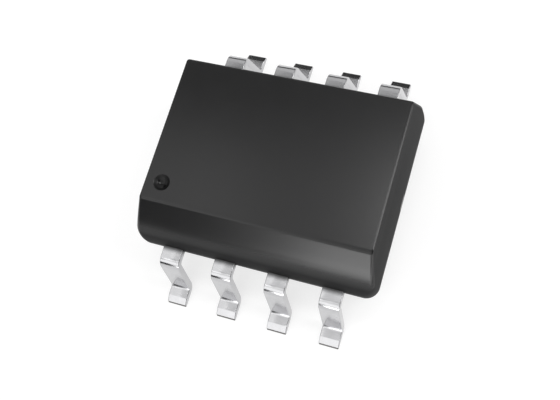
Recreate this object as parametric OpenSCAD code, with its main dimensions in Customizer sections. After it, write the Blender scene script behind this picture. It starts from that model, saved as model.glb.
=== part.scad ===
// Chip in an eight-lead small-outline package: moulded body, gull-wing leads,
// and inside the body the die paddle, the die and its bond wires.
// Millimetres, +Z up. The origin is on the board, under the middle of the body.
// The first row of leads is on the -Y side, numbered from -X; the second row runs back.

/* [Moulded body] */
// Length at the parting line
body_length = 5.7; // [5.2:0.05:8]
// Width at the parting line
body_width = 4.52; // [4:0.02:7]
// Height of the top face above the leads
upper_height = 0.97; // [0.75:0.01:1.5]
// Gap between the underside and the board
standoff = 0.15; // [0.05:0.01:0.3]
// Draft of the short end faces in degrees
end_draft = 10; // [3:0.5:14]
// Draft of the long sides in degrees
side_draft = 18; // [3:0.5:20]
// Corner radius in plan at the parting line
corner_radius = 0.3; // [0.1:0.01:0.5]
// Rounding of the top and bottom edges
edge_radius = 0.08; // [0.02:0.01:0.12]

/* [Bevel along the first row] */
// Width that the bevel takes off the top face
bevel_width = 0.45; // [0.2:0.01:0.6]
// Slope of the bevel below the top face in degrees
bevel_angle = 45; // [38:1:55]
// Rounding where the bevel runs out into the long side
bevel_foot_radius = 0.28; // [0.05:0.01:0.35]

/* [Pin one dimple] */
// Diameter of the dimple on the top face
dimple_diameter = 0.37; // [0.2:0.01:0.6]
// Depth of the dimple
dimple_depth = 0.08; // [0.03:0.01:0.12]
// Distance from the end edge of the top face to the dimple's centre
dimple_from_end = 0.41; // [0.35:0.01:0.8]
// Distance from the bevel to the dimple's centre
dimple_from_bevel = 0.43; // [0.35:0.01:0.8]

/* [Ejector mark] */
// Diameter of the round mark under the body
ejector_diameter = 1; // [0.6:0.05:1.5]
// Depth of the round mark under the body
ejector_depth = 0.03; // [0.01:0.01:0.06]

/* [Leads] */
// Distance between neighbouring leads
pitch = 1.27; // [1.1:0.01:1.35]
// Width of a lead outside the body
lead_width = 0.48; // [0.3:0.01:0.6]
// Sheet thickness of the lead frame
sheet = 0.17; // [0.14:0.01:0.25]
// Height of the leads' top faces above the board
lead_height = 1.39; // [1.1:0.01:1.8]
// Flat length of the shoulder outside the body
shoulder_flat = 0.23; // [0.1:0.01:0.5]
// Slope of the leg below the shoulder in degrees
leg_angle = 78; // [60:1:86]
// Inside radius of the bends
bend_radius = 0.07; // [0.03:0.01:0.12]
// Flat length of the foot's upper face, up to the toe
foot_flat = 0.18; // [0.1:0.01:0.6]
// Length of the bevel on the toe's upper edge
toe_bevel = 0.15; // [0.05:0.01:0.18]
// Slope of that bevel in degrees
toe_slope = 28; // [15:1:35]
// Slope of the nose that runs from the bevel down to the board, in degrees
nose_slope = 72; // [45:1:85]

/* [Lead frame inside the body] */
// Width of the finger that anchors a lead
finger_width = 0.8; // [0.6:0.01:1]
// Length of the narrow neck between the body's side and the finger
neck_length = 0.25; // [0.1:0.01:0.35]
// Diameter of the hole that locks a finger in the compound
anchor_hole = 0.24; // [0.15:0.01:0.35]
// Gap between a finger's tip and the paddle
finger_gap = 0.3; // [0.2:0.01:0.4]
// Depth of the paddle below the leads
paddle_downset = 0.2; // [0.15:0.01:0.4]
// Slope of the tie bars down to the paddle in degrees
downset_angle = 45; // [30:1:60]
// Width of the paddle left around the die attach
paddle_margin = 0.3; // [0.1:0.01:0.4]
// Width of a tie bar
tie_bar_width = 0.35; // [0.2:0.01:0.6]

/* [Die] */
// Length of the die
die_length = 1.9; // [1.4:0.05:2.2]
// Width of the die
die_width = 1.3; // [0.9:0.05:1.5]
// Thickness of the die
die_thickness = 0.25; // [0.15:0.01:0.35]
// Thickness of the adhesive under the die
attach_thickness = 0.03; // [0.02:0.01:0.06]
// Width of the adhesive that shows around the die
attach_margin = 0.05; // [0.02:0.01:0.1]

/* [Bond wires] */
// Diameter of a wire
wire_diameter = 0.04; // [0.03:0.005:0.06]
// Height of a wire's loop above its pad
loop_height = 0.28; // [0.2:0.01:0.4]
// Share of the way to the landing over which the loop stays high
loop_share = 0.6; // [0.4:0.05:0.8]
// Diameter of the ball that joins a wire to its pad
ball_diameter = 0.1; // [0.07:0.01:0.14]
// Height of that ball
ball_height = 0.03; // [0.02:0.005:0.05]
// Distance from the die's edge to the centre of a pad
pad_inset = 0.12; // [0.08:0.01:0.2]
// Distance from a finger's tip to the wire's landing
landing_inset = 0.2; // [0.12:0.01:0.25]

/* [Hidden] */

row_leads = 4;
row_middle = (row_leads - 1) / 2;
lead_count = 2 * row_leads;
wire_sides = 8;
wire_steps = 10;
$fn = 32;

compound_black = [0.13, 0.13, 0.14];
tin_silver = [0.8, 0.8, 0.81];
copper = [0.72, 0.45, 0.32];
adhesive_grey = [0.62, 0.62, 0.6];
silicon_grey = [0.32, 0.33, 0.38];
gold = [0.9, 0.72, 0.3];

body_top = lead_height + upper_height;
lead_underside = lead_height - sheet;
top_width = body_width - 2 * upper_height * tan(side_draft);
top_length = body_length - 2 * upper_height * tan(end_draft);
bevel_top_y = top_width / 2 - bevel_width;
bevel_drop = bevel_width / (1 / tan(bevel_angle) - tan(side_draft));
bevel_foot_y = top_width / 2 + bevel_drop * tan(side_draft);

bend_middle = bend_radius + sheet / 2;
leg_length = (lead_height - sheet - 2 * bend_middle * (1 - cos(leg_angle))) / sin(leg_angle);
nose_height = sheet - toe_bevel * tan(toe_slope);
toe_length = toe_bevel + nose_height / tan(nose_slope);
step_length = (paddle_downset - 2 * bend_middle * (1 - cos(downset_angle))) / sin(downset_angle);
step_run = 2 * bend_middle * sin(downset_angle) + step_length * cos(downset_angle);

paddle_length = die_length + 2 * (attach_margin + paddle_margin);
paddle_width = die_width + 2 * (attach_margin + paddle_margin);
tie_flat = (body_length - paddle_length) / 2 - step_run;
finger_tip_y = paddle_width / 2 + finger_gap;
finger_length = body_width / 2 - finger_tip_y;

paddle_top = lead_height - paddle_downset;
die_bottom = paddle_top + attach_thickness;
die_top = die_bottom + die_thickness;

// Height of a level above or below the band at the parting line
function from_band(z) = max(z - lead_height, lead_underside - z);

// Place of a lead along its row
function lead_x(n) = ((n - 1) % row_leads - row_middle) * pitch;

// Place of the pad that serves a lead, along the die's edge
function pad_x(n) = ((n - 1) % row_leads - row_middle) / row_middle * (die_length / 2 - pad_inset);

// Centre of a round that touches two planes, given where they cross and their outward normals
function round_centre(corner, first, second, radius) =
    corner - radius * (first + second) / (1 + first * second);

// Outward normal of a face that leans back from plumb by a draft
function leaning(draft) = [cos(draft), sin(draft)];

up = [0, 1];
down = [0, -1];

// Round at both ends of a long edge, touching the end faces
module corner_pair(y, z, radius) {
    inset = from_band(z) * tan(end_draft) + radius / cos(end_draft);
    for (side = [-1, 1])
        translate([side * (body_length / 2 - inset), y, z])
            sphere(r = radius);
}

// Upright round at each corner of the band at the parting line
module band_corners() {
    x = body_length / 2 - corner_radius;
    y = body_width / 2 - corner_radius;
    for (corner = [[x, y], [-x, y], [-x, -y], [x, -y]])
        translate([corner.x, corner.y, lead_underside])
            cylinder(r = corner_radius, h = sheet);
}

// Outside of the body, one convex form from the underside to the top
module moulded_form() {
    side_normal = leaning(side_draft);
    under_normal = leaning(-side_draft);
    bevel_normal = [sin(bevel_angle), cos(bevel_angle)];
    under_y = body_width / 2 - from_band(standoff) * tan(side_draft);
    back = round_centre([top_width / 2, body_top], up, side_normal, edge_radius);
    front = round_centre([bevel_top_y, body_top], up, bevel_normal, edge_radius);
    foot = round_centre([bevel_foot_y, body_top - bevel_drop],
        bevel_normal, side_normal, bevel_foot_radius);
    under = round_centre([under_y, standoff], down, under_normal, edge_radius);
    hull() {
        corner_pair(back.x, back.y, edge_radius);
        corner_pair(-front.x, front.y, edge_radius);
        corner_pair(-foot.x, foot.y, bevel_foot_radius);
        band_corners();
        corner_pair(under.x, under.y, edge_radius);
        corner_pair(-under.x, under.y, edge_radius);
    }
}

// Shallow cup of a ball that cuts the top face in a circle of the dimple's diameter
module pin_one_dimple() {
    rim = dimple_diameter / 2;
    ball = (rim * rim + dimple_depth * dimple_depth) / (2 * dimple_depth);
    x = dimple_from_end - top_length / 2;
    y = dimple_from_bevel - bevel_top_y;
    translate([x, y, body_top + ball - dimple_depth])
        sphere(r = ball);
}

module ejector_mark() {
    translate([0, 0, standoff - ejector_depth])
        cylinder(d = ejector_diameter, h = 2 * ejector_depth);
}

module body() {
    color(compound_black)
        difference() {
            moulded_form();
            pin_one_dimple();
            ejector_mark();
            for (n = [1 : lead_count]) {
                lead(n);
                bond_wire(n);
            }
            die_paddle();
            die_attach();
            die();
        }
}

// Straight length of sheet in section; what follows starts at its end
module run(length) {
    translate([0, -sheet / 2])
        square([length, sheet]);
    translate([length, 0])
        children();
}

// Bend of the sheet in section, up for a positive angle; what follows starts at its end
module bend(angle) {
    side = sign(angle);
    reach = 2 * (bend_radius + sheet);
    translate([0, side * bend_middle]) {
        intersection() {
            difference() {
                circle(r = bend_radius + sheet);
                circle(r = bend_radius);
            }
            polygon([[0, 0], for (turn = [0, angle / 2, angle]) reach * side * [sin(turn), -cos(turn)]]);
        }
        rotate(angle)
            translate([0, -side * bend_middle])
                children();
    }
}

// End of the foot, bevelled above and running down to a nose on the board
module toe() {
    translate([0, -sheet / 2])
        polygon([[0, 0], [0, sheet], [toe_bevel, nose_height], [toe_length, 0]]);
}

// Lead in side view, from the body's side outwards
module gull_wing() {
    run(shoulder_flat) bend(-leg_angle) run(leg_length) bend(leg_angle) run(foot_flat) toe();
}

// Part of a lead that the compound holds, in plan, from the body's side inwards
module anchored_finger() {
    landing = finger_length - landing_inset;
    difference() {
        union() {
            translate([-lead_width / 2, 0])
                square([lead_width, neck_length]);
            translate([-finger_width / 2, neck_length])
                square([finger_width, finger_length - neck_length]);
        }
        translate([0, (neck_length + landing) / 2])
            circle(d = anchor_hole);
    }
}

module lead(n) {
    color(tin_silver)
        rotate(n > row_leads ? 180 : 0)
            translate([lead_x(n), -body_width / 2, lead_underside]) {
                linear_extrude(sheet)
                    anchored_finger();
                translate([0, 0, sheet / 2])
                    rotate([90, 0, -90])
                        linear_extrude(lead_width, center = true)
                            gull_wing();
            }
}

module tie_bar() {
    translate([paddle_length / 2, 0, paddle_top - sheet / 2])
        rotate([90, 0, 0])
            linear_extrude(tie_bar_width, center = true)
                bend(downset_angle) run(step_length) bend(-downset_angle) run(tie_flat);
}

module die_paddle() {
    color(copper) {
        translate([-paddle_length / 2, -paddle_width / 2, paddle_top - sheet])
            cube([paddle_length, paddle_width, sheet]);
        for (turn = [0, 180])
            rotate(turn)
                tie_bar();
    }
}

module die_attach() {
    length = die_length + 2 * attach_margin;
    width = die_width + 2 * attach_margin;
    color(adhesive_grey)
        translate([-length / 2, -width / 2, paddle_top])
            cube([length, width, attach_thickness]);
}

module die() {
    color(silicon_grey)
        translate([-die_length / 2, -die_width / 2, die_bottom])
            cube([die_length, die_width, die_thickness]);
}

// Point on the cubic curve with four control points
function curve(p, t) =
    pow(1 - t, 3) * p[0] + 3 * t * pow(1 - t, 2) * p[1] + 3 * t * t * (1 - t) * p[2] + pow(t, 3) * p[3];

// Direction of that curve
function heading(p, t) =
    let (d = pow(1 - t, 2) * (p[1] - p[0]) + 2 * t * (1 - t) * (p[2] - p[1]) + t * t * (p[3] - p[2]))
    d / norm(d);

// Ring of a round wire about a point, square to its heading; across is level and square to the route
function wire_ring(centre, along, across, radius) =
    let (rise = cross(along, across))
    [for (k = [0 : wire_sides - 1])
        let (turn = 360 * k / wire_sides)
        centre + radius * (cos(turn) * across + sin(turn) * rise)];

// Ring moved along its heading until it lies flat on a level
function landed(ring, along, level) = [for (q = ring) q + along * (level - q.z) / along.z];

// Wire from the top of its ball on the pad, over the loop, to its landing on the lead's finger
module bond_wire(n) {
    radius = wire_diameter / 2;
    pad = [pad_x(n), pad_inset - die_width / 2, die_top];
    landing = [lead_x(n), -finger_tip_y - landing_inset, lead_height];
    plan = [landing.x - pad.x, landing.y - pad.y, 0];
    start = pad + [0, 0, ball_height];
    loop = start + [0, 0, loop_height];
    path = [start, loop, loop + loop_share * plan, landing];
    across = cross([0, 0, 1], plan) / norm(plan);
    ball = [for (z = [0, ball_height])
        wire_ring(pad + [0, 0, z], [0, 0, 1], across, ball_diameter / 2)];
    wire = [for (k = [0 : wire_steps - 1])
        wire_ring(curve(path, k / wire_steps), heading(path, k / wire_steps), across, radius)];
    end = landed(wire_ring(landing, heading(path, 1), across, radius), heading(path, 1), lead_height);
    color(gold)
        rotate(n > row_leads ? 180 : 0)
            skinned(concat(ball, wire, [end]));
}

// Closed skin over a row of rings
module skinned(rings) {
    last = len(rings) - 1;
    points = [for (ring = rings) each ring];
    sides = [for (k = [0 : last - 1], i = [0 : wire_sides - 1])
        let (a = k * wire_sides + i, b = k * wire_sides + (i + 1) % wire_sides)
        each [[a, a + wire_sides, b], [b, a + wire_sides, b + wire_sides]]];
    first_cap = [for (i = [0 : wire_sides - 1]) i];
    last_cap = [for (i = [wire_sides - 1 : -1 : 0]) last * wire_sides + i];
    polyhedron(points, concat(sides, [first_cap, last_cap]));
}

body();
for (n = [1 : lead_count])
    lead(n);
die_paddle();
die_attach();
die();
for (n = [1 : lead_count])
    bond_wire(n);
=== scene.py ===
import math
from collections import namedtuple

import bmesh
import bpy
from bpy.props import FloatProperty, FloatVectorProperty, PointerProperty
from mathutils import Matrix, Quaternion, Vector


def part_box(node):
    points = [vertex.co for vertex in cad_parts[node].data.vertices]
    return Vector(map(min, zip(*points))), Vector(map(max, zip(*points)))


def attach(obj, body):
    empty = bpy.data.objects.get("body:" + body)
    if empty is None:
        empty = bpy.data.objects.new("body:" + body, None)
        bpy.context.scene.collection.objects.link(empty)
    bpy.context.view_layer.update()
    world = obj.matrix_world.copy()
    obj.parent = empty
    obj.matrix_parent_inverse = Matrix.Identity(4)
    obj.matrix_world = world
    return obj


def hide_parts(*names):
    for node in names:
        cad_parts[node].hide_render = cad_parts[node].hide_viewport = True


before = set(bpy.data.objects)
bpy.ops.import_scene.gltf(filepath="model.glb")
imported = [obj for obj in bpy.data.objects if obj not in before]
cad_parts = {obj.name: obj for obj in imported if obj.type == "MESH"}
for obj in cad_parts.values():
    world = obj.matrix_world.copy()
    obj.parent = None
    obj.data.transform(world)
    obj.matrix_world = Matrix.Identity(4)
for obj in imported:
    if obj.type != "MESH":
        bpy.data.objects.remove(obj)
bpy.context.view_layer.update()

bl_info = {
    "name": "Small-outline chip",
    "version": (1, 0, 0),
    "blender": (4, 5, 0),
    "location": "3D View > Sidebar > Chip",
    "description": "Moulded body, gull-wing leads and inner parts of a chip, on a studio floor",
    "category": "Object",
}

MM = 0.001
MICRON = 0.000001
# Points that are less than this apart count as one place
CLOSE = 0.1 * MICRON

# Places and sizes that come from the frame
BODY_LOW, BODY_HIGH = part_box("body")
LEAD_NODES = sorted(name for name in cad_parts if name.startswith("lead_"))
WIRE_NODES = sorted(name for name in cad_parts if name.startswith("bond_wire_"))
LEAD_LOW, LEAD_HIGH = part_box(LEAD_NODES[0])


def tie_bar_end():
    """How far the tie bars reach along the chip, and half their width there"""
    points = [v.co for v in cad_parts["die_paddle"].data.vertices]
    reach = max(co.x for co in points)
    return reach, max(co.y for co in points if co.x > reach - MICRON)


TIE_BAR_REACH, TIE_BAR_SIDE = tie_bar_end()

# Edges that turn by more than these angles are stamped ones, or keep the shading of their faces apart
STAMPED_EDGE = math.radians(60)
BODY_CREASE = math.radians(40)
LEAD_CREASE = math.radians(18)

# Places of the finishes in the body's list and in a lead's
COMPOUND, DIMPLE, BAR_END = range(3)
PLATING, CUT_END_WITH_SHADE = range(2)

# One level of the moulded body: a rectangle with rounded corners, seen from above
Level = namedtuple("Level", "z half_length front back radius")


def length_property(name, description, default):
    return FloatProperty(name=name, description=description, default=default, min=0.0,
                         unit="LENGTH", subtype="DISTANCE", precision=5)


def angle_property(name, description, degrees):
    return FloatProperty(name=name, description=description, default=math.radians(degrees),
                         unit="ROTATION", subtype="ANGLE")


def share_property(name, description, default):
    return FloatProperty(name=name, description=description, default=default,
                         min=0.0, max=1.0, subtype="FACTOR")


def level_property(name, description, default):
    return FloatProperty(name=name, description=description, default=default, min=0.0)


def colour_property(name, description, default):
    return FloatVectorProperty(name=name, description=description, default=default, size=3,
                               min=0.0, max=1.0, subtype="COLOR")


def place_property(name, description, default):
    return FloatVectorProperty(name=name, description=description, default=default, size=3,
                               unit="LENGTH", subtype="TRANSLATION", precision=5)


class MouldedBodySettings(bpy.types.PropertyGroup):
    """Sizes and finish of the moulded body"""
    end_draft: angle_property("End draft", "Lean of the short end faces from plumb", 10)
    side_draft: angle_property("Side draft", "Lean of the long sides from plumb", 18)
    band_height: length_property(
        "Band height", "Height of the upright band at the parting line", 0.17 * MM)
    band_corner: length_property(
        "Band corner", "Corner radius in plan at the parting line", 0.3 * MM)
    foot_corner: length_property(
        "Foot corner", "Corner radius in plan at the foot of the bevel", 0.1 * MM)
    face_corner: length_property(
        "Face corner", "Corner radius in plan of the top face and the underside", 0.06 * MM)
    edge_rounding: length_property(
        "Edge rounding", "Set-back of the rounding along the top and bottom edges", 0.04 * MM)
    bevel_width: length_property(
        "Bevel width", "Width that the bevel takes off the top face", 0.45 * MM)
    bevel_angle: angle_property("Bevel angle", "Slope of the bevel below the top face", 45)
    bevel_rounding: length_property(
        "Bevel rounding", "Set-back of the rounding where the bevel meets the top face", 0.06 * MM)
    foot_rise: length_property(
        "Foot rise", "How far the rounding at the bevel's foot reaches up the bevel", 0.55 * MM)
    foot_fall: length_property(
        "Foot fall", "How far the rounding at the bevel's foot reaches down the side", 0.26 * MM)
    dimple_diameter: length_property(
        "Dimple diameter", "Diameter of the pin one dimple", 0.37 * MM)
    dimple_depth: length_property("Dimple depth", "Depth of the pin one dimple", 0.08 * MM)
    dimple_from_end: length_property(
        "Dimple from end", "Distance from the end edge of the top face to the dimple", 0.41 * MM)
    dimple_from_bevel: length_property(
        "Dimple from bevel", "Distance from the bevel to the dimple", 0.43 * MM)
    dimple_rim: length_property("Dimple rim", "Rounding of the dimple's rim", 0.012 * MM)
    mark_diameter: length_property(
        "Ejector mark diameter", "Diameter of the round mark under the body", 1.0 * MM)
    mark_depth: length_property(
        "Ejector mark depth", "Depth of the round mark under the body", 0.03 * MM)
    compound: colour_property("Compound", "Colour of the moulding compound", (0.01, 0.01, 0.0102))
    face_roughness: share_property(
        "Face roughness", "Roughness of the top face, the bevel and the underside", 0.22)
    side_roughness: share_property(
        "Side roughness", "Roughness of the drafted sides, eroded to let go of the mould", 0.6)
    skin: share_property("Skin", "Weight of the smooth resin skin on the top face and the bevel", 0.51)
    side_sheen: share_property("Side sheen", "Specular level of the compound under the skin", 0.176)
    dimple_sheen: share_property("Dimple sheen", "Specular level inside the dimple", 0.26)
    grain_size: length_property("Grain size", "Size of the grain left by the mould", 0.035 * MM)


class LeadSettings(bpy.types.PropertyGroup):
    """Sizes and finish of the leads"""
    width: length_property("Width", "Width of a lead outside the body", 0.48 * MM)
    sheet: length_property("Sheet", "Thickness of the lead frame's sheet", 0.17 * MM)
    shoulder: length_property("Shoulder", "Flat length of the shoulder outside the body", 0.23 * MM)
    leg_angle: angle_property("Leg angle", "Slope of the leg below the shoulder", 78)
    bend_radius: length_property("Bend radius", "Inside radius of the bends", 0.07 * MM)
    toe_bevel: length_property("Toe bevel", "Length of the bevel on the toe's upper edge", 0.15 * MM)
    toe_slope: angle_property("Toe slope", "Slope of the toe's bevel", 28)
    nose_slope: angle_property("Nose slope", "Slope of the nose that runs down to the board", 72)
    edge_rounding: length_property(
        "Edge rounding", "Rounding of the stamped edges under the plating", 0.022 * MM)
    neck: length_property(
        "Neck", "Length of the narrow neck between the body's side and the finger", 0.25 * MM)
    anchor_hole: length_property(
        "Anchor hole", "Diameter of the hole that locks a finger in the compound", 0.24 * MM)
    landing_inset: length_property(
        "Landing inset", "Distance from a finger's tip to the wire's landing", 0.2 * MM)
    tin: colour_property("Tin", "Colour of the tin plating", (0.53, 0.53, 0.54))
    tin_roughness: share_property("Tin roughness", "Roughness of the tin plating", 0.17)
    # Painted shade: the plating is darkened near the body, standing in for the shadow where a lead
    # leaves it
    root_shade_reach: length_property(
        "Root shade", "Reach of the painted root shade on a lead where it leaves the body", 0.15 * MM)
    # Partly painted shade: the bare cut ends are made darker than bare alloy, standing in for the
    # shadow under the toes
    cut_end_with_shade: colour_property(
        "Painted-shade cut end", "Colour of the bare alloy where a toe is cut off", (0.1, 0.095, 0.09))


class InnerSettings(bpy.types.PropertyGroup):
    """Colours of the parts inside the body"""
    copper: colour_property("Copper", "Colour of the die paddle", (0.72, 0.43, 0.3))
    adhesive: colour_property("Adhesive", "Colour of the die adhesive", (0.55, 0.55, 0.53))
    silicon: colour_property("Silicon", "Colour of the die", (0.16, 0.17, 0.21))
    gold: colour_property("Gold", "Colour of the bond wires", (0.9, 0.68, 0.26))


class StageSettings(bpy.types.PropertyGroup):
    """Camera, lamps and floor"""
    camera_place: place_property(
        "Camera place", "Where the camera stands", (5.1831 * MM, -5.0107 * MM, 18.7108 * MM))
    camera_aim: place_property(
        "Camera aim", "Point that the camera looks at", (0.4602 * MM, -0.8474 * MM, 2.36 * MM))
    camera_roll: angle_property("Camera roll", "Turn of the camera about its line of sight", -33.524)
    lens: FloatProperty(name="Lens", description="Focal length in millimetres for a 36 mm sensor",
                        default=52.814, min=1.0)
    floor_colour: colour_property("Floor", "Colour of the floor", (0.33, 0.33, 0.33))
    floor_glow: level_property(
        "Floor glow", "Light that the pale floor adds where it is seen or mirrored", 0.73)
    surround: level_property("Surround", "Brightness of the dark studio around the stage", 0.03)
    ceiling_level: level_property("Ceiling", "Brightness of the panel overhead", 0.92)
    wing_level: level_property("Wing", "Brightness of the panel on the ceiling's left", 1.23)
    key_level: level_property("Key", "Brightness of the small lamp overhead", 5.5)
    hood_level: level_property("Hood", "Brightness of the panel between ceiling and band", 1.12)
    band_level: level_property("Band", "Brightness of the wide panel in front", 1.6)
    spot_level: level_property("Spot", "Brightness of the small lamp low in front", 5.6)
    corner_level: level_property("Corner", "Brightness of the low panel on the right of the front", 2.4)
    low_level: level_property("Low", "Brightness of the low panel in front", 0.84)
    side_level: level_property("Side", "Brightness of the panel on the right", 5.7)
    flank_level: level_property("Flank", "Brightness of the low panel on the right", 2.4)
    left_level: level_property("Left", "Brightness of the panel on the left", 0.62)
    back_level: level_property("Back", "Brightness of the panel behind", 0.69)
    rear_level: level_property("Rear", "Brightness of the lower panel behind", 0.62)


# Shared bmesh steps

def new_piece(name, bm, materials, replaced):
    """Turns a finished bmesh into a piece that rides on the root body and stands for a node"""
    weld = 0.01 * MICRON
    bmesh.ops.remove_doubles(bm, verts=bm.verts[:], dist=weld)
    bmesh.ops.recalc_face_normals(bm, faces=bm.faces[:])
    for face in bm.faces:
        face.smooth = True
    mesh = bpy.data.meshes.new(name)
    bm.to_mesh(mesh)
    bm.free()
    for material in materials:
        mesh.materials.append(material)
    piece = bpy.data.objects.new(name, mesh)
    bpy.context.scene.collection.objects.link(piece)
    normals = piece.modifiers.new("Even normals", "WEIGHTED_NORMAL")
    normals.keep_sharp = True
    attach(piece, "root")
    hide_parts(replaced)


def round_edges(bm, edges, amount, steps):
    bmesh.ops.bevel(bm, geom=edges, offset=amount, offset_type="OFFSET", affect="EDGES",
                    segments=steps, profile=0.5, material=-1)


def round_corners(bm, verts, radius, steps):
    bmesh.ops.bevel(bm, geom=verts, offset=radius, offset_type="OFFSET", affect="VERTICES",
                    segments=steps, profile=0.5, material=-1)


def parts(geom, kind):
    return [item for item in geom if isinstance(item, kind)]


def mark_creases(bm, angle):
    """Keeps shading apart at every edge that turns by more than an angle"""
    for edge in bm.edges:
        if edge.is_manifold and edge.calc_face_angle() > angle:
            edge.smooth = False


# Moulded body

def level_corners(level):
    """Sharp corners of a level, by the end and the row that they are on"""
    rows = {-1: level.front, 1: level.back}
    return {(side, row): Vector((side * level.half_length, y, level.z))
            for side in (-1, 1) for row, y in rows.items()}


def first_level(bm, level, steps):
    """Lays the underside as one face with rounded corners"""
    face = bmesh.ops.create_grid(bm, x_segments=1, y_segments=1, size=1.0)["verts"][0].link_faces[0]
    half_width = (level.back - level.front) / 2
    middle = (level.back + level.front) / 2
    bmesh.ops.scale(bm, vec=(level.half_length, half_width, 1), verts=bm.verts[:])
    bmesh.ops.translate(bm, vec=(0, middle, level.z), verts=bm.verts[:])
    round_corners(bm, face.verts[:], level.radius, steps)
    return bm.faces[:][0]


def next_level(bm, face, start, end):
    """Extrudes a level's face to the next level, with each corner at its new place and radius"""
    made = parts(bmesh.ops.extrude_face_region(bm, geom=[face])["geom"], bmesh.types.BMFace)[0]
    if not all(e.is_manifold for e in face.edges):
        bmesh.ops.delete(bm, geom=[face], context="FACES_ONLY")
    middle = (start.front + start.back) / 2
    new_corners = level_corners(end)
    ratio = end.radius / start.radius
    for (side, row), corner in level_corners(start).items():
        arc = [v for v in made.verts if v.co.x * side > 0 and (v.co.y - middle) * row > 0]
        bmesh.ops.scale(bm, vec=(ratio, ratio, 1), space=Matrix.Translation(-corner), verts=arc)
        bmesh.ops.translate(bm, vec=new_corners[side, row] - corner, verts=arc)
    return made


def lies_at(item, z):
    """Whether an edge or a face lies level at a height"""
    return all(abs(v.co.z - z) < CLOSE for v in item.verts)


def level_edges(bm, z):
    return [e for e in bm.edges if lies_at(e, z)]


def flat_face(bm, z):
    """Largest face that lies at a height"""
    return max((f for f in bm.faces if lies_at(f, z)), key=lambda f: f.calc_area())


def spun_about(bm, edges, centre, steps):
    """Turns a section about the upright line through a point, and returns the new faces"""
    weld = 0.05 * MICRON
    before = set(bm.faces)
    section = edges + list({v for e in edges for v in e.verts})
    bmesh.ops.spin(bm, geom=section, cent=centre, axis=(0, 0, 1), angle=2 * math.pi,
                   steps=steps, use_merge=True)
    made = [f for f in bm.faces if f not in before]
    verts = list({v for f in made for v in f.verts})
    bmesh.ops.remove_doubles(bm, verts=verts, dist=weld)
    return [f for f in bm.faces if f not in before]


def let_in(bm, face, recess):
    """Replaces a flat face by the recess and a flat fill around it"""
    outer = [e for f in recess for e in f.edges if e.is_boundary]
    edges = list(face.edges) + outer
    bmesh.ops.delete(bm, geom=[face], context="FACES_ONLY")
    bmesh.ops.triangle_fill(bm, edges=edges, use_beauty=True, use_dissolve=False)


def crease_border(bm, z):
    """Keeps the flat faces at a height from taking their neighbours' shading"""
    flat = {f for f in bm.faces if lies_at(f, z)}
    for edge in {e for f in flat for e in f.edges}:
        if any(f not in flat for f in edge.link_faces):
            edge.smooth = False


def dimple_section(bm, centre, s, apron):
    """Half section of the dimple's cup, its rounded rim and a narrow flat apron, bottom first"""
    cup_steps = 10
    rim_steps = 4
    rim = s.dimple_diameter / 2
    depth = s.dimple_depth
    ball = (rim * rim + depth * depth) / (2 * depth)
    bottom = bm.verts.new(centre - Vector((0, 0, depth)))
    arc = bmesh.ops.spin(bm, geom=[bottom], cent=centre + Vector((0, 0, ball - depth)),
                         axis=(0, -1, 0), angle=math.asin(rim / ball), steps=cup_steps)
    end = parts(arc["geom_last"], bmesh.types.BMVert)[0]
    edge = bm.verts.new(centre + Vector((rim + apron, 0, 0)))
    bm.edges.new((end, edge))
    round_corners(bm, [end], s.dimple_rim, rim_steps)
    return [e for e in bm.edges if not e.link_faces]


def mark_section(bm, centre, rim, depth, apron):
    """Half section of a flat round mark let in from below, from its middle outwards"""
    turns = [(0, depth), (rim, depth), (rim, 0), (rim + apron, 0)]
    chain = [bm.verts.new(centre + Vector((x, 0, z))) for x, z in turns]
    return [bm.edges.new(pair) for pair in zip(chain, chain[1:])]


def rim_inset(drop, lean, rounding):
    """Inset of a wall from its sharp top corner, at a drop below the top face"""
    if drop >= rounding * math.cos(lean):
        return -drop * math.tan(lean)
    radius = rounding / math.tan((math.pi / 2 - lean) / 2)
    return rounding - math.sqrt(radius ** 2 - (radius - drop) ** 2)


def front_section(s, top, foot):
    """Points of the front, from the side over the bevel's rounded foot and rounded upper edge"""
    steps = 10
    down_side = Vector((0, -math.sin(s.side_draft), -math.cos(s.side_draft))) * s.foot_fall
    up_bevel = Vector((0, math.sin(s.bevel_angle), math.cos(s.bevel_angle))) * s.foot_rise
    start, end = foot + down_side, foot + up_bevel
    points = []
    for step in range(steps + 1):
        share = step / steps
        points.append(start.lerp(foot, share).lerp(foot.lerp(end, share), share))
    turn = math.pi / 2 - s.bevel_angle
    radius = s.bevel_rounding / math.tan(turn / 2)
    bevel_rim = [radius * (1 - math.cos(turn * (1 - step / steps))) for step in range(steps + 1)]
    for drop in sorted([*bevel_rim, s.edge_rounding], reverse=True):
        points.append(top + Vector((0, rim_inset(drop, s.bevel_angle, s.bevel_rounding), -drop)))
    return points


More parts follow.
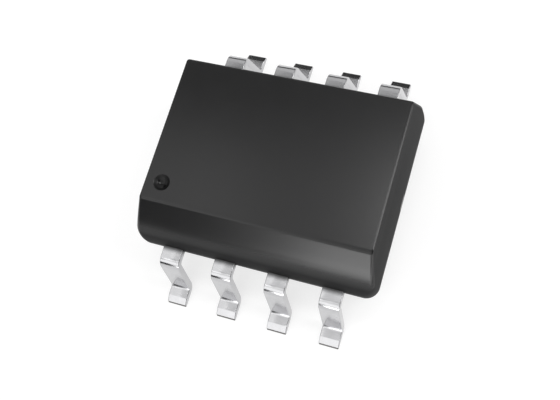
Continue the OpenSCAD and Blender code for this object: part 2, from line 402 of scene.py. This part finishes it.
def body_levels(s):
    """Levels of the body from the underside to the top face"""
    half_length = TIE_BAR_REACH + MICRON
    half_width = BODY_HIGH.y
    band_top = LEAD_HIGH.z
    band_foot = band_top - s.band_height
    side_slope = math.tan(s.side_draft)
    end_slope = math.tan(s.end_draft)
    upper = BODY_HIGH.z - band_top
    lower = band_foot - BODY_LOW.z
    to_foot = upper - s.bevel_width / (1 / math.tan(s.bevel_angle) - side_slope)
    top = Vector((0, s.bevel_width + upper * side_slope - half_width, BODY_HIGH.z))
    foot = Vector((0, to_foot * side_slope - half_width, band_top + to_foot))

    def plain_level(z, rise, radius):
        width = half_width - rise * side_slope
        return Level(z, half_length - rise * end_slope, -width, width, radius)

    def upper_level(point):
        drop = BODY_HIGH.z - point.z
        length = half_length - upper * end_slope - rim_inset(drop, s.end_draft, s.edge_rounding)
        back = half_width - upper * side_slope - rim_inset(drop, s.side_draft, s.edge_rounding)
        low, high = (s.band_corner, s.foot_corner), (s.foot_corner, s.face_corner)
        below = point.z < foot.z
        first, last = low if below else high
        share = (point.z - band_top) / to_foot if below else 1 - drop / (upper - to_foot)
        return Level(point.z, length, point.y, back, first + (last - first) * share)

    return [
        plain_level(BODY_LOW.z, lower, s.face_corner),
        plain_level(band_foot, 0, s.band_corner),
        plain_level(band_top, 0, s.band_corner),
        *(upper_level(point) for point in front_section(s, top, foot)),
    ]


def part_off_bar_ends(bm, half_length):
    """Parts off the place on each end face where the cut end of a tie bar shows"""
    end = half_length - CLOSE
    for side in (-1, 1):
        for bar_side in (-TIE_BAR_SIDE, TIE_BAR_SIDE):
            band = [f for f in bm.faces if all(v.co.x * side > end for v in f.verts)]
            around = {item for f in band for item in (*f.verts, *f.edges, f)}
            bmesh.ops.bisect_plane(bm, geom=list(around), dist=CLOSE,
                                   plane_co=(0, bar_side, 0), plane_no=(0, 1, 0))
    half_bar = TIE_BAR_SIDE + CLOSE
    return [f for f in bm.faces
            if all(abs(v.co.x) > end and abs(v.co.y) < half_bar for v in f.verts)]


def moulded_body_mesh(s):
    """The whole body: its levels, the tie bars' ends, the dimple and the ejector mark"""
    corner_steps = 12
    rounding_steps = 6
    spin_steps = 64
    apron = 0.02 * MM
    bm = bmesh.new()
    levels = body_levels(s)
    face = first_level(bm, levels[0], corner_steps)
    for start, end in zip(levels, levels[1:]):
        face = next_level(bm, face, start, end)
    under, band_foot, band_top = levels[:3]
    top = levels[-1]
    for edge in level_edges(bm, band_foot.z) + level_edges(bm, band_top.z):
        edge.smooth = False
    for bar_end in part_off_bar_ends(bm, band_top.half_length):
        bar_end.material_index = BAR_END
    round_edges(bm, list(flat_face(bm, under.z).edges), s.edge_rounding, rounding_steps)

    sharp_front = top.front - s.bevel_rounding
    sharp_end = top.half_length + s.edge_rounding
    dimple = Vector((s.dimple_from_end - sharp_end, sharp_front + s.dimple_from_bevel, top.z))
    section = dimple_section(bm, dimple, s, apron)
    cup = spun_about(bm, section, dimple, spin_steps)
    let_in(bm, flat_face(bm, top.z), cup)
    for f in cup:
        below_face = any(v.co.z < top.z - MICRON for v in f.verts)
        f.material_index = DIMPLE if below_face else COMPOUND

    mark = Vector((0, 0, under.z))
    section = mark_section(bm, mark, s.mark_diameter / 2, s.mark_depth, apron)
    recess = spun_about(bm, section, mark, spin_steps)
    let_in(bm, flat_face(bm, under.z), recess)
    crease_border(bm, top.z)
    crease_border(bm, under.z)
    mark_creases(bm, BODY_CREASE)
    return bm


class CHIP_OT_moulded_body(bpy.types.Operator):
    """Build the moulded body with its bevel, pin one dimple and ejector mark"""
    bl_idname = "chip.moulded_body"
    bl_label = "Moulded body"

    def execute(self, context):
        s = context.scene.chip_body
        finishes = [
            compound_material(s),
            dimple_material(s),
            cut_end_shade_material(context.scene.chip_leads),
        ]
        new_piece("moulded_body", moulded_body_mesh(s), finishes, "body")
        return {"FINISHED"}


# Leads

def run_sheet(bm, edge, direction, length):
    """Carries the sheet's section straight on, and returns its new end"""
    made = bmesh.ops.extrude_edge_only(bm, edges=[edge])["geom"]
    bmesh.ops.translate(bm, vec=direction * length, verts=parts(made, bmesh.types.BMVert))
    ends = set(parts(made, bmesh.types.BMVert))
    return next(e for e in parts(made, bmesh.types.BMEdge) if set(e.verts) == ends)


def bend_sheet(bm, edge, centre, angle, steps):
    made = bmesh.ops.spin(bm, geom=[edge, *edge.verts], cent=centre, axis=(1, 0, 0),
                          angle=angle, steps=steps)["geom_last"]
    return parts(made, bmesh.types.BMEdge)[0]


def under_and_upper(edge, towards):
    """The two ends of the sheet's edge, the one on the near side of a direction first"""
    return sorted(edge.verts, key=lambda v: v.co.dot(towards))


def toe_sizes(s):
    """Height of the nose below the toe's bevel, and length of the whole toe"""
    nose_height = s.sheet - s.toe_bevel * math.tan(s.toe_slope)
    return nose_height, s.toe_bevel + nose_height / math.tan(s.nose_slope)


def sheet_section(bm, s, x):
    """Side view of a lead at one of its flanks, from the neck's inner end to the toe"""
    bend_steps = 10
    top = LEAD_HIGH.z
    root = BODY_LOW.y
    middle_radius = s.bend_radius + s.sheet / 2
    bends = 2 * middle_radius * (1 - math.cos(s.leg_angle))
    leg = (top - s.sheet - bends) / math.sin(s.leg_angle)
    up = Vector((0, 0, 1))
    outwards = Vector((0, -1, 0))
    down_leg = Matrix.Rotation(s.leg_angle, 3, "X") @ outwards
    low = bm.verts.new((x, root + s.neck, top - s.sheet))
    high = bm.verts.new((x, root + s.neck, top))
    edge = bm.edges.new((low, high))
    edge = run_sheet(bm, edge, outwards, s.neck + s.shoulder)
    low, _ = under_and_upper(edge, up)
    edge = bend_sheet(bm, edge, low.co - Vector((0, 0, s.bend_radius)), s.leg_angle, bend_steps)
    edge = run_sheet(bm, edge, down_leg, leg)
    across = Matrix.Rotation(s.leg_angle, 3, "X") @ up
    _, high = under_and_upper(edge, across)
    edge = bend_sheet(bm, edge, high.co + across * s.bend_radius, -s.leg_angle, bend_steps)
    low, _ = under_and_upper(edge, up)
    nose_height, toe_length = toe_sizes(s)
    edge = run_sheet(bm, edge, outwards, low.co.y - LEAD_LOW.y - toe_length)
    low, high = under_and_upper(edge, up)
    knee = bm.verts.new(high.co + outwards * s.toe_bevel - Vector((0, 0, s.sheet - nose_height)))
    tip = bm.verts.new(low.co + outwards * toe_length)
    bm.faces.new((low, high, knee, tip))


def finger_plan(bm, s, x):
    """Plan of the finger that the compound holds, with its anchor hole, at the sheet's underside"""
    hole_steps = 32
    z = LEAD_HIGH.z - s.sheet
    near = BODY_LOW.y + s.neck
    tip = LEAD_HIGH.y
    half_finger = (LEAD_HIGH.x - LEAD_LOW.x) / 2
    half_neck = s.width / 2
    outline = [(-half_finger, near), (-half_neck, near), (half_neck, near),
               (half_finger, near), (half_finger, tip), (-half_finger, tip)]
    ring = [bm.verts.new((x + dx, y, z)) for dx, y in outline]
    edges = [bm.edges.new(pair) for pair in zip(ring, ring[1:] + ring[:1])]
    hole = Vector((x, (near + tip - s.landing_inset) / 2, z))
    circle = bmesh.ops.create_circle(bm, segments=hole_steps, radius=s.anchor_hole / 2,
                                     matrix=Matrix.Translation(hole))["verts"]
    edges += list({e for v in circle for e in v.link_edges})
    made = bmesh.ops.triangle_fill(bm, edges=edges, use_beauty=True, use_dissolve=False)["geom"]
    return parts(made, bmesh.types.BMFace)


def thicken(bm, faces, step):
    made = bmesh.ops.extrude_face_region(bm, geom=faces)["geom"]
    bmesh.ops.translate(bm, vec=step, verts=parts(made, bmesh.types.BMVert))


def lead_mesh(s, x):
    """One lead of the first row: neck, shoulder, leg and foot in one bent strip, and the finger"""
    edge_steps = 4
    bm = bmesh.new()
    sheet_section(bm, s, x - s.width / 2)
    thicken(bm, bm.faces[:], Vector((s.width, 0, 0)))
    thicken(bm, finger_plan(bm, s, x), Vector((0, 0, s.sheet)))
    join = BODY_LOW.y + s.neck
    half_neck = s.width / 2 + CLOSE
    seam = [f for f in bm.faces
            if all(abs(v.co.y - join) < CLOSE and abs(v.co.x - x) < half_neck for v in f.verts)]
    bmesh.ops.delete(bm, geom=seam, context="FACES_ONLY")
    bmesh.ops.remove_doubles(bm, verts=bm.verts[:], dist=CLOSE)
    bmesh.ops.recalc_face_normals(bm, faces=bm.faces[:])
    outside = [e for e in bm.edges
               if all(v.co.y < join + CLOSE for v in e.verts)
               and any(v.co.y < join - CLOSE for v in e.verts)]
    stamped = [e for e in outside if e.is_manifold and e.calc_face_angle() > STAMPED_EDGE]
    nose_end = LEAD_LOW.y + toe_sizes(s)[1] - s.toe_bevel + CLOSE
    # The noses take the cut-end finish, whose dark colour is partly painted shade under the toes
    for face in bm.faces:
        on_nose = all(v.co.y < nose_end for v in face.verts)
        face.material_index = CUT_END_WITH_SHADE if on_nose else PLATING
    round_edges(bm, stamped, s.edge_rounding, edge_steps)
    mark_creases(bm, LEAD_CREASE)
    return bm


class CHIP_OT_gull_wing_leads(bpy.types.Operator):
    """Build the eight bent leads with their fingers inside the body"""
    bl_idname = "chip.gull_wing_leads"
    bl_label = "Gull-wing leads"

    def execute(self, context):
        s = context.scene.chip_leads
        finishes = [tin_material(s), cut_end_shade_material(s)]
        for node in LEAD_NODES:
            low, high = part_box(node)
            middle = (low + high) / 2
            second_row = middle.y > 0
            bm = lead_mesh(s, -middle.x if second_row else middle.x)
            if second_row:
                half_turn = Matrix.Rotation(math.pi, 3, "Z")
                bmesh.ops.rotate(bm, verts=bm.verts[:], cent=(0, 0, 0), matrix=half_turn)
            new_piece("bent_" + node, bm, finishes, node)
        return {"FINISHED"}


# Materials

# Sockets of a Mix node that blends colours
MIX_FACTOR, MIX_FIRST, MIX_SECOND, MIX_RESULT = 0, 6, 7, 2


def add_math(tree, operation, first, second):
    node = tree.nodes.new("ShaderNodeMath")
    node.operation = operation
    for socket, value in zip(node.inputs, (first, second)):
        if isinstance(value, (int, float)):
            socket.default_value = value
        else:
            tree.links.new(value, socket)
    return node.outputs["Value"]


def add_noise(tree, vector, scale, detail, roughness):
    node = tree.nodes.new("ShaderNodeTexNoise")
    node.inputs["Detail"].default_value = detail
    node.inputs["Roughness"].default_value = roughness
    tree.links.new(vector, node.inputs["Vector"])
    tree.links.new(scale, node.inputs["Scale"])
    return node.outputs["Fac"]


def add_mask(tree, value, start, end, shape="LINEAR"):
    """0 up to the start of a range of values, rising to 1 at its end"""
    node = tree.nodes.new("ShaderNodeMapRange")
    node.interpolation_type = shape
    node.inputs["From Min"].default_value = start
    node.inputs["From Max"].default_value = end
    tree.links.new(value, node.inputs["Value"])
    return node.outputs["Result"]


def spread_value(tree, factor, low, high):
    node = tree.nodes.new("ShaderNodeMapRange")
    node.inputs["To Min"].default_value = low
    node.inputs["To Max"].default_value = high
    tree.links.new(factor, node.inputs["Value"])
    return node.outputs["Result"]


def shared_group(name, size_label, size, result_label, build):
    """Shader node group that makes one value from a place and a size, built once"""
    if name in bpy.data.node_groups:
        return bpy.data.node_groups[name]
    group = bpy.data.node_groups.new(name, "ShaderNodeTree")
    group.interface.new_socket("Vector", in_out="INPUT", socket_type="NodeSocketVector")
    socket = group.interface.new_socket(size_label, in_out="INPUT", socket_type="NodeSocketFloat")
    socket.default_value = size
    group.interface.new_socket(result_label, in_out="OUTPUT", socket_type="NodeSocketFloat")
    start = group.nodes.new("NodeGroupInput")
    end = group.nodes.new("NodeGroupOutput")
    scale = add_math(group, "DIVIDE", 1.0, start.outputs[size_label])
    group.links.new(build(group, start.outputs["Vector"], scale), end.inputs[result_label])
    return group


def cloudy_tone():
    """Soft cloudy variation of a given size"""
    darkest, lightest = 0.3, 0.7

    def build(tree, place, scale):
        noise = add_noise(tree, place, scale, detail=4.0, roughness=0.55)
        return add_mask(tree, noise, darkest, lightest)

    return shared_group("Cloudy tone", "Size", 0.5 * MM, "Tone", build)


def fine_grain():
    """Fine rounded grain of a given size, as a moulded or plated surface has"""
    broad_share = 0.3

    def build(tree, place, scale):
        fine = add_noise(tree, place, scale, detail=2.0, roughness=0.5)
        broad_scale = add_math(tree, "MULTIPLY", scale, broad_share)
        broad = add_noise(tree, place, broad_scale, detail=1.0, roughness=0.5)
        return add_math(tree, "ADD", fine, broad)

    return shared_group("Fine grain", "Size", 0.03 * MM, "Height", build)


def rolled_lines():
    """Fine lines along the leads, as rolling leaves on a strip"""
    squeeze = (1.0, 0.03, 0.03)

    def build(tree, place, scale):
        stretch = tree.nodes.new("ShaderNodeVectorMath")
        stretch.operation = "MULTIPLY"
        stretch.inputs[1].default_value = squeeze
        tree.links.new(place, stretch.inputs[0])
        return add_noise(tree, stretch.outputs["Vector"], scale, detail=3.0, roughness=0.6)

    return shared_group("Rolled lines", "Spacing", 0.02 * MM, "Lines", build)


def new_material(name):
    """Material with its Principled shader and Object coordinates"""
    material = bpy.data.materials.new(name)
    material.use_nodes = True
    tree = material.node_tree
    shader = tree.nodes["Principled BSDF"]
    place = tree.nodes.new("ShaderNodeTexCoord")
    return material, tree, shader, place.outputs["Object"]


def use_group(tree, group, vector, size):
    node = tree.nodes.new("ShaderNodeGroup")
    node.node_tree = group
    tree.links.new(vector, node.inputs["Vector"])
    node.inputs[1].default_value = size
    return node.outputs[0]


def blend_colours(tree, factor, first, second):
    ramp = tree.nodes.new("ShaderNodeValToRGB")
    for stop, colour in zip(ramp.color_ramp.elements, (first, second)):
        stop.color = (*colour, 1.0)
    tree.links.new(factor, ramp.inputs["Fac"])
    return ramp.outputs["Color"]


def add_relief(tree, shader, place, group, size, strength, depth=MICRON):
    """Raises a group's pattern, of a given size, from the surface"""
    bump = tree.nodes.new("ShaderNodeBump")
    bump.inputs["Strength"].default_value = strength
    bump.inputs["Distance"].default_value = depth
    tree.links.new(use_group(tree, group, place, size), bump.inputs["Height"])
    tree.links.new(bump.outputs["Normal"], shader.inputs["Normal"])


def toned(colour, factor):
    return tuple(min(1.0, channel * factor) for channel in colour)


def varied_finish(name, colour, roughness, metallic, cloud_size, swing):
    """Material whose colour and roughness vary softly over the surface"""
    material, tree, shader, place = new_material(name)
    tone = use_group(tree, cloudy_tone(), place, cloud_size)
    colours = blend_colours(tree, tone, toned(colour, 1 - swing), toned(colour, 1 + swing))
    tree.links.new(colours, shader.inputs["Base Color"])
    rough = spread_value(tree, tone, roughness * (1 - swing), roughness * (1 + swing))
    tree.links.new(rough, shader.inputs["Roughness"])
    shader.inputs["Metallic"].default_value = metallic
    return material, tree, shader, place


def parts_along_axes(tree, vector):
    split = tree.nodes.new("ShaderNodeSeparateXYZ")
    tree.links.new(vector, split.inputs["Vector"])
    return split.outputs


def surface_normal(tree):
    normal = tree.nodes.new("ShaderNodeNewGeometry").outputs["Normal"]
    return parts_along_axes(tree, normal)


def steep_part(tree, end_share, flat_angle, steep_angle):
    """0 where the surface is flat or leans towards an end by a share, rising to 1 where it is steep"""
    normal = surface_normal(tree)
    upright = add_math(tree, "ABSOLUTE", normal["Z"], 0.0)
    endways = add_math(tree, "ABSOLUTE", normal["X"], 0.0)
    flat = add_math(tree, "ADD", upright, add_math(tree, "MULTIPLY", endways, end_share))
    return add_mask(tree, flat, math.cos(flat_angle), math.cos(steep_angle))


def front_rounding(tree):
    """0 on the top face and on the bevel, up to 1 on the rounding between them"""
    leave_top = (0.05, 0.5)
    leave_bevel = (0.69, 0.55)
    lean = add_math(tree, "MULTIPLY", surface_normal(tree)["Y"], -1.0)
    off_top = add_mask(tree, lean, *leave_top)
    off_bevel = add_mask(tree, lean, *leave_bevel)
    return add_math(tree, "MULTIPLY", off_top, off_bevel)


def roughen(tree, shader, part, extra):
    """Adds to a finish's roughness on a part of the surface"""
    rough = shader.inputs["Roughness"].links[0].from_socket
    more = add_math(tree, "MULTIPLY", part, extra)
    tree.links.new(add_math(tree, "ADD", rough, more), shader.inputs["Roughness"])


def compound_material(s):
    """Black moulding compound: smooth faces with a fine grain, and eroded, duller sides"""
    edge_skin = 0.84
    material, tree, shader, place = varied_finish(
        "moulded compound", s.compound, s.face_roughness, metallic=0.0, cloud_size=0.6 * MM, swing=0.05)
    sides = steep_part(tree, end_share=0.3, flat_angle=math.radians(49), steep_angle=math.radians(60))
    roughen(tree, shader, sides, s.side_roughness - s.face_roughness)
    skin = spread_value(tree, sides, s.skin, 0.0)
    kept = spread_value(tree, front_rounding(tree), 1.0, edge_skin)
    tree.links.new(add_math(tree, "MULTIPLY", skin, kept), shader.inputs["Coat Weight"])
    shader.inputs["Coat Roughness"].default_value = s.face_roughness
    shader.inputs["Specular IOR Level"].default_value = s.side_sheen
    add_relief(tree, shader, place, fine_grain(), s.grain_size, strength=0.12)
    return material


def dimple_material(s):
    """Smoother compound that the polished pin of the mould leaves in the dimple, with its colour
    darkened as painted shade in the hollow
    """
    # Painted shade: inside the dimple the compound's colour is at half its brightness
    tone = 0.5
    wall_roughness = 0.4
    material, tree, shader, place = varied_finish(
        "smooth dimple with painted shade", toned(s.compound, tone), roughness=0.12, metallic=0.0,
        cloud_size=0.2 * MM, swing=0.06)
    wall = steep_part(tree, end_share=0.0, flat_angle=math.radians(24), steep_angle=math.radians(34))
    roughen(tree, shader, wall, wall_roughness)
    shader.inputs["Specular IOR Level"].default_value = s.dimple_sheen
    add_relief(tree, shader, place, fine_grain(), s.grain_size, strength=0.05)
    return material


def root_shade_mask(tree, place, reach):
    """Mask of the painted shade: 0 where a lead leaves the body, rising to 1 at a distance from it"""
    from_middle = add_math(tree, "ABSOLUTE", parts_along_axes(tree, place)["Y"], 0.0)
    return add_mask(tree, from_middle, BODY_HIGH.y, BODY_HIGH.y + reach, "SMOOTHSTEP")


def tin_material(s):
    """Tin plating over rolled strip, darkened by painted shade where a lead leaves the body"""
    # Painted shade: near the body the plating's colour falls to a tenth of its brightness
    root_shade_tone = 0.1
    material, tree, shader, place = varied_finish(
        "tin plating", s.tin, s.tin_roughness, metallic=1.0, cloud_size=0.15 * MM, swing=0.03)
    plating = shader.inputs["Base Color"].links[0].from_socket
    root_shade_mix = tree.nodes.new("ShaderNodeMix")
    root_shade_mix.data_type = "RGBA"
    root_shade_mix.inputs[MIX_FIRST].default_value = (*toned(s.tin, root_shade_tone), 1.0)
    tree.links.new(root_shade_mask(tree, place, s.root_shade_reach), root_shade_mix.inputs[MIX_FACTOR])
    tree.links.new(plating, root_shade_mix.inputs[MIX_SECOND])
    tree.links.new(root_shade_mix.outputs[MIX_RESULT], shader.inputs["Base Color"])
    add_relief(tree, shader, place, rolled_lines(), 0.02 * MM, strength=0.08)
    return material


def cut_end_shade_material(s):
    """Bare alloy at the toes and the tie bars, which are cut off after the plating, made darker as
    painted shade of the shadow under the toes
    """
    name = "painted-shade cut end"
    if name in bpy.data.materials:
        return bpy.data.materials[name]
    material, tree, shader, place = varied_finish(
        name, s.cut_end_with_shade, roughness=0.4, metallic=1.0, cloud_size=0.05 * MM, swing=0.1)
    add_relief(tree, shader, place, fine_grain(), 0.02 * MM, strength=0.1)
    return material


def rolled_copper(s):
    """Copper alloy of the die paddle"""
    material, tree, shader, place = varied_finish(
        "rolled copper", s.copper, roughness=0.35, metallic=1.0, cloud_size=0.3 * MM, swing=0.08)
    add_relief(tree, shader, place, rolled_lines(), 0.03 * MM, strength=0.2)
    return material


def silver_adhesive(s):
    """Adhesive filled with silver flakes"""
    material, tree, shader, place = varied_finish(
        "filled adhesive", s.adhesive, roughness=0.6, metallic=0.3, cloud_size=0.05 * MM, swing=0.2)
    add_relief(tree, shader, place, fine_grain(), 0.01 * MM, strength=0.3)
    return material


def polished_silicon(s):
    """Polished wafer of the die"""
    material, tree, shader, place = varied_finish(
        "polished silicon", s.silicon, roughness=0.15, metallic=0.6, cloud_size=0.2 * MM, swing=0.1)
    add_relief(tree, shader, place, fine_grain(), 0.05 * MM, strength=0.02)
    return material


def drawn_gold(s):
    """Bright drawn gold of the bond wires"""
    material, tree, shader, place = varied_finish(
        "drawn gold", s.gold, roughness=0.22, metallic=1.0, cloud_size=0.1 * MM, swing=0.05)
    add_relief(tree, shader, place, fine_grain(), 0.01 * MM, strength=0.1, depth=0.5 * MICRON)
    return material


class CHIP_OT_inner_parts(bpy.types.Operator):
    """Give the paddle, the adhesive, the die and the bond wires their finishes"""
    bl_idname = "chip.inner_parts"
    bl_label = "Inner parts"

    def execute(self, context):
        s = context.scene.chip_inner
        finishes = {
            "die_paddle": rolled_copper(s),
            "die_attach": silver_adhesive(s),
            "die": polished_silicon(s),
            **dict.fromkeys(WIRE_NODES, drawn_gold(s)),
        }
        for node, material in finishes.items():
            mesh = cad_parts[node].data
            mesh.materials.clear()
            mesh.materials.append(material)
        return {"FINISHED"}


# Stage

# One lamp: where it hangs and how wide and high it is, in millimetres, and the way its width runs
Lamp = namedtuple("Lamp", "name place along width height")
LENGTHWISE = Vector((1, 0, 0))
CROSSWISE = Vector((0, 1, 0))
ASKEW = Vector((4, 1, 0))
LAMPS = (
    Lamp("ceiling", (-7, 1, 81), ASKEW, 42, 60),
    Lamp("wing", (-43, -5, 72), CROSSWISE, 60, 35),
    Lamp("key", (9, 20, 79), LENGTHWISE, 34, 13),
    Lamp("hood", (-6, -45, 88), LENGTHWISE, 104, 32),
    Lamp("band", (-15, -78, 63), LENGTHWISE, 120, 51),
    Lamp("spot", (-3, -98, 16), LENGTHWISE, 37, 20),
    Lamp("corner", (50, -87, 8.5), LENGTHWISE, 90, 16),
    Lamp("low", (12, -94, 22), LENGTHWISE, 93, 42),
    Lamp("side", (74, 27, 64), CROSSWISE, 34, 80),
    Lamp("flank", (86, -47, 8.5), CROSSWISE, 100, 16),
    Lamp("left", (-84, -10, 54), CROSSWISE, 90, 60),
    Lamp("back", (-10, 68, 75), LENGTHWISE, 140, 56),
    Lamp("rear", (-10, 90, 44), LENGTHWISE, 140, 26),
)


def floor_material(s):
    """Pale floor that looks white where it is seen or mirrored, and keeps the shadows"""
    material, tree, shader, _ = varied_finish(
        "pale floor", s.floor_colour, roughness=0.9, metallic=0.0, cloud_size=20 * MM, swing=0.01)
    shader.inputs["Specular IOR Level"].default_value = 0.0
    path = tree.nodes.new("ShaderNodeLightPath")
    seen = add_math(tree, "MAXIMUM", path.outputs["Is Camera Ray"], path.outputs["Is Glossy Ray"])
    seen = add_math(tree, "MAXIMUM", seen, path.outputs["Is Transmission Ray"])
    glow = add_math(tree, "MULTIPLY", seen, s.floor_glow)
    shader.inputs["Emission Color"].default_value = (1.0, 1.0, 1.0, 1.0)
    tree.links.new(glow, shader.inputs["Emission Strength"])
    return material


def add_floor(s):
    """Round floor just below the feet"""
    radius = 400 * MM
    sides = 96
    bm = bmesh.new()
    bmesh.ops.create_circle(bm, cap_ends=True, segments=sides, radius=radius,
                            matrix=Matrix.Translation((0, 0, -MICRON)))
    mesh = bpy.data.meshes.new("floor")
    bm.to_mesh(mesh)
    bm.free()
    mesh.materials.append(floor_material(s))
    floor = bpy.data.objects.new("floor", mesh)
    bpy.context.scene.collection.objects.link(floor)


def add_lamp(lamp, aim, level):
    """Soft panel of a given brightness that faces a point"""
    place = Vector(lamp.place) * MM
    width = lamp.width * MM
    height = lamp.height * MM
    data = bpy.data.lights.new(lamp.name, "AREA")
    data.shape = "RECTANGLE"
    data.size = width
    data.size_y = height
    data.energy = level * math.pi * width * height
    panel = bpy.data.objects.new(lamp.name, data)
    bpy.context.scene.collection.objects.link(panel)
    away = (place - aim).normalized()
    up = away.cross(lamp.along).normalized()
    turn = Matrix((up.cross(away), up, away)).transposed()
    panel.location = place
    panel.rotation_euler = turn.to_euler()


def add_camera(s):
    data = bpy.data.cameras.new("camera")
    data.sensor_width = 36.0
    data.lens = s.lens
    data.clip_start = 1 * MM
    data.clip_end = 1000 * MM
    camera = bpy.data.objects.new("camera", data)
    bpy.context.scene.collection.objects.link(camera)
    place = Vector(s.camera_place)
    sight = (Vector(s.camera_aim) - place).to_track_quat("-Z", "Y")
    camera.location = place
    camera.rotation_euler = (sight @ Quaternion((0, 0, 1), s.camera_roll)).to_euler()
    bpy.context.scene.camera = camera


def add_surround(s):
    world = bpy.data.worlds.new("studio")
    world.use_nodes = True
    background = world.node_tree.nodes["Background"]
    background.inputs["Color"].default_value = (1.0, 1.0, 1.0, 1.0)
    background.inputs["Strength"].default_value = s.surround
    bpy.context.scene.world = world


class CHIP_OT_stage(bpy.types.Operator):
    """Set the floor, the lamps, the surround and the camera"""
    bl_idname = "chip.stage"
    bl_label = "Stage"

    def execute(self, context):
        s = context.scene.chip_stage
        context.scene.view_settings.view_transform = "Standard"
        aim = Vector((0, 0, BODY_HIGH.z / 2))
        add_floor(s)
        for lamp in LAMPS:
            add_lamp(lamp, aim, getattr(s, lamp.name + "_level"))
        add_surround(s)
        add_camera(s)
        return {"FINISHED"}


class CHIP_PT_sidebar(bpy.types.Panel):
    """Lists the steps that build the chip"""
    bl_idname = "CHIP_PT_sidebar"
    bl_label = "Small-outline chip"
    bl_space_type = "VIEW_3D"
    bl_region_type = "UI"
    bl_category = "Chip"

    def draw(self, context):
        for operator in OPERATORS:
            self.layout.operator(operator.bl_idname)


SETTINGS = {
    "chip_body": MouldedBodySettings,
    "chip_leads": LeadSettings,
    "chip_inner": InnerSettings,
    "chip_stage": StageSettings,
}
OPERATORS = (CHIP_OT_moulded_body, CHIP_OT_gull_wing_leads, CHIP_OT_inner_parts, CHIP_OT_stage)
CLASSES = (*SETTINGS.values(), *OPERATORS, CHIP_PT_sidebar)


def register():
    for cls in CLASSES:
        bpy.utils.register_class(cls)
    for name, group in SETTINGS.items():
        setattr(bpy.types.Scene, name, PointerProperty(type=group))


def unregister():
    for name in SETTINGS:
        delattr(bpy.types.Scene, name)
    for cls in reversed(CLASSES):
        bpy.utils.unregister_class(cls)


def main():
    register()
    bpy.ops.chip.moulded_body()
    bpy.ops.chip.gull_wing_leads()
    bpy.ops.chip.inner_parts()
    bpy.ops.chip.stage()


if __name__ == "__main__":
    main()
